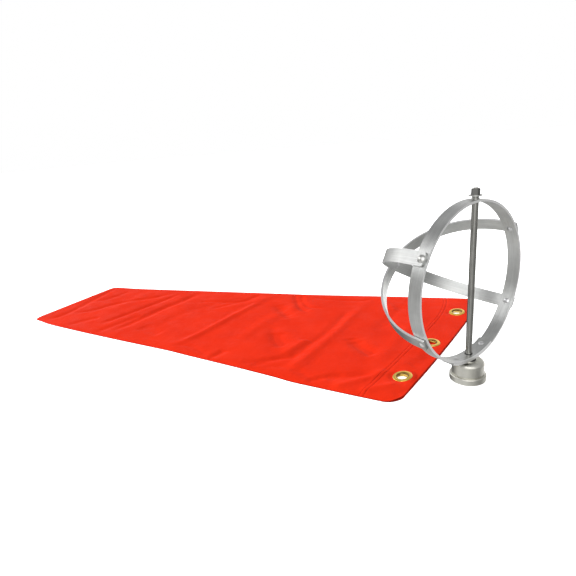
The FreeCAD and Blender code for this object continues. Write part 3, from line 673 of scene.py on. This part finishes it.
def stations():
    """Rows of the cloth, from the inner end of the tail's turned-in facing to that of the mouth's."""
    tail_rows = hem_rows(TAIL_STITCHES, TAIL_HEM + 4)
    mouth_rows = hem_rows(MOUTH_STITCHES, MOUTH_HEM + 4)
    between = ROWS_BETWEEN_HEMS
    middle = [(k / between, tail_rows[-1] * (1 - k / between) - mouth_rows[-1] * k / between)
              for k in range(1, between)]
    outer = [(0.0, d) for d in tail_rows] + middle + [(1.0, -d) for d in reversed(mouth_rows)]
    tail_facing = [(0.0, d) for d in reversed(tail_rows) if 0.1 < d <= TAIL_HEM]
    mouth_facing = [(1.0, -d) for d in mouth_rows if 0.1 < d <= MOUTH_HEM]
    rows = np.array(tail_facing + outer + mouth_facing)
    facing = np.array([1] * len(tail_facing) + [0] * len(outer) + [1] * len(mouth_facing))
    return rows, facing


def shares_across():
    """Shares across one layer: fine at both folds."""
    fine = np.array([0.0, 0.25, 0.8, 2.0, 4.0]) / USUAL_HALF_WIDTH
    inner = np.linspace(fine[-1], 2 - fine[-1], SHARES_BETWEEN_FOLDS)[1:-1]
    return np.concatenate([fine, inner, 2 - fine[::-1]]) - 1


def lay_layers(rows, facing, across):
    """Points (x, y, z) of the tube: each row goes over the upper layer and back along the lower one."""
    inset = facing[:, None] * FACING_INSET
    grids = []
    for upper in (True, False):
        line = across[None, :] if upper else across[None, -2:0:-1]
        x, y, to_mouth, to_tail, near, far = lay_out(rows, line * (1 - inset))
        low = lower_height(x, y)
        gap = FACING_GAP * facing[:, None] * smoothstep(np.minimum(to_mouth, to_tail) / 0.6)
        if upper:
            z = upper_height(x, y, to_mouth, to_tail, near, far) - gap
            z[:, 0] = (z[:, 0] + low[:, 0]) / 2
            z[:, -1] = (z[:, -1] + low[:, -1]) / 2
        else:
            z = low + gap * 0.6
        grids.append(np.stack([x, y, z], axis=2))
    return np.concatenate(grids, axis=1)


def open_eyelet_holes(points, is_upper, is_facing):
    """Moves the points inside each eyelet's hole out to its rim, and tells which points those are."""
    moved = np.zeros(len(points), bool)
    for centres, upper in ((EYELETS, True), (LOWER_EYELETS, False)):
        for centre in centres:
            away = points[:, :2] - np.array(centre[:2])
            reach = np.hypot(away[:, 0], away[:, 1])
            hit = (reach < CLOTH_HOLE) & (is_upper == upper)
            scale = CLOTH_HOLE / np.maximum(reach[hit], 0.01)
            points[hit, :2] = np.array(centre[:2]) + away[hit] * scale[:, None]
            if upper:
                cx, cy, foot, along, off = centre
                plane = foot + along * (points[hit, 0] - cx) + off * (points[hit, 1] - cy)
                points[hit, 2] = plane - CLOTH_THICKNESS / 2 - is_facing[hit] * FACING_GAP
            moved |= hit
    return moved


def make_sock():
    """The cone as one tube of cloth laid flat, turned in at both ends, with its eyelet holes."""
    rows, facing = stations()
    across = shares_across()
    grid = lay_layers(rows, facing, across)
    count = grid.shape[1]
    points = grid.reshape(-1, 3).copy()
    is_upper = np.tile(np.arange(count) < len(across), len(rows))
    moved = open_eyelet_holes(points, is_upper, facing.repeat(count))
    faces = []
    for r in range(len(rows) - 1):
        for c in range(count):
            d = (c + 1) % count
            face = (r * count + c, r * count + d, (r + 1) * count + d, (r + 1) * count + c)
            if not all(moved[list(face)]):
                faces.append(face)
    used = sorted({v for face in faces for v in face})
    renumber = {v: k for k, v in enumerate(used)}
    faces = [tuple(renumber[v] for v in face) for face in faces]
    sock = make_mesh("sock_cloth", points[used] * MM + cone_origin(), faces)
    solid = sock.modifiers.new("cloth_thickness", "SOLIDIFY")
    solid.thickness = CLOTH_THICKNESS * MM
    solid.offset = 0.0
    solid.use_even_offset = False
    return sock


def surface_point(side, distance, across):
    """A point on the upper layer at a distance from the mouth (side 1) or the tail (side 0)."""
    offset = -distance if side else distance
    places = lay_out(np.array([[float(side), offset]]), np.array([across]))
    return np.stack([places[0][0], places[1][0], upper_height(*places)[0]], axis=1)


def make_stitches():
    """Rows of thread along both hems, each stitch a short rounded length that dips in at its ends."""
    vertices, faces = [], []
    for side, distance in [(1, d) for d in MOUTH_STITCHES] + [(0, d) for d in TAIL_STITCHES]:
        fine = np.linspace(-0.985, 0.985, 900)
        line = surface_point(side, distance, fine)
        run = np.concatenate([[0], np.cumsum(np.linalg.norm(np.diff(line, axis=0), axis=1))])
        for start in np.arange(2.0, run[-1] - STITCH_PITCH, STITCH_PITCH):
            sections = []
            for share, size, lift in STITCH_SECTIONS:
                at = start + share * STITCH_LENGTH
                place = np.array([np.interp(at, run, line[:, k]) for k in range(3)])
                place[2] += CLOTH_THICKNESS / 2 + lift
                sections.append((place, size * STITCH_RADIUS))
            forward = sections[-1][0] - sections[0][0]
            forward /= np.linalg.norm(forward)
            aside = np.cross(forward, (0, 0, 1))
            aside /= np.linalg.norm(aside)
            up = np.cross(aside, forward)
            first = len(vertices)
            for place, radius in sections:
                for k in range(STITCH_SIDES):
                    turn = math.tau * k / STITCH_SIDES
                    vertices.append(place + radius * (math.cos(turn) * aside + math.sin(turn) * up))
            last = first + STITCH_SIDES * (len(sections) - 1)
            for ring in range(first, last, STITCH_SIDES):
                for k in range(STITCH_SIDES):
                    a, b = ring + k, ring + (k + 1) % STITCH_SIDES
                    faces.append((a, b, b + STITCH_SIDES, a + STITCH_SIDES))
            faces.append(tuple(first + k for k in reversed(range(STITCH_SIDES))))
            faces.append(tuple(last + k for k in range(STITCH_SIDES)))
    return make_mesh("hem_stitches", np.array(vertices) * MM + cone_origin(), faces)


def make_eyelets():
    """Pressed brass eyelets with a rolled flange, a barrel and a back ring, set as the cloth lies."""
    around = EYELET_SIDES
    rings = len(EYELET_PROFILE)
    vertices, faces, dimmer = [], [], []
    for cx, cy, foot, along, off in EYELETS:
        upright = Vector((-along, -off, 1)).normalized()
        turn = Vector((0, 0, 1)).rotation_difference(upright)
        first = len(vertices)
        for radius, height in EYELET_PROFILE:
            for k in range(around):
                angle = math.tau * k / around
                point = turn @ Vector((radius * math.cos(angle), radius * math.sin(angle), height))
                vertices.append((point.x + cx, point.y + cy, point.z + foot))
        for r, (radius, _) in enumerate(EYELET_PROFILE):
            for k in range(around):
                a, b = first + r * around + k, first + r * around + (k + 1) % around
                low = ((r + 1) % rings - r) * around
                faces.append((a, b, b + low, a + low))
                # Faces within that radius get slot 1, the darker brass: painted shade inside the hole.
                dimmer.append(int(radius < SHADE_PAINTED_WITHIN))
    eyelets = make_mesh("eyelets_top", np.array(vertices) * MM + cone_origin(), faces)
    eyelets.data.polygons.foreach_set("material_index", dimmer)
    return eyelets


def make_wind_cone():
    """The cloth, its stitching and its upper eyelets."""
    cloth = nylon_cloth("coated_nylon", (0.585, 0.0222, 0.0056), (0.54, 0.0190, 0.0048))
    thread = thread_paint()
    brass = brass_metal("pressed_brass", CLEAN_BRASS, TARNISHED_BRASS)
    sock = make_sock()
    sock.data.materials.append(cloth)
    sock.visible_glossy = False
    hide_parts("sock_cone", "tail_hem", "mouth_hem_upper", "mouth_hem_lower", "mouth_hem_folds")
    stitches = make_stitches()
    stitches.data.materials.append(thread)
    eyelets = make_eyelets()
    eyelets.data.materials.append(brass)
    # Slot 1: a much darker brass, painted shade for the inside of the eyelets' holes.
    eyelets.data.materials.append(brass_metal("brass_painted_shade", (0.34, 0.20, 0.05), (0.20, 0.11, 0.025)))
    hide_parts("eyelets_upper", "eyelet_washers_upper")
    for piece, slot in ((sock, "cloth"), (stitches, "cloth"), (eyelets, "brass")):
        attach(piece, "sock")


make_camera()
make_studio()
paint_nodes()
make_wind_cone()
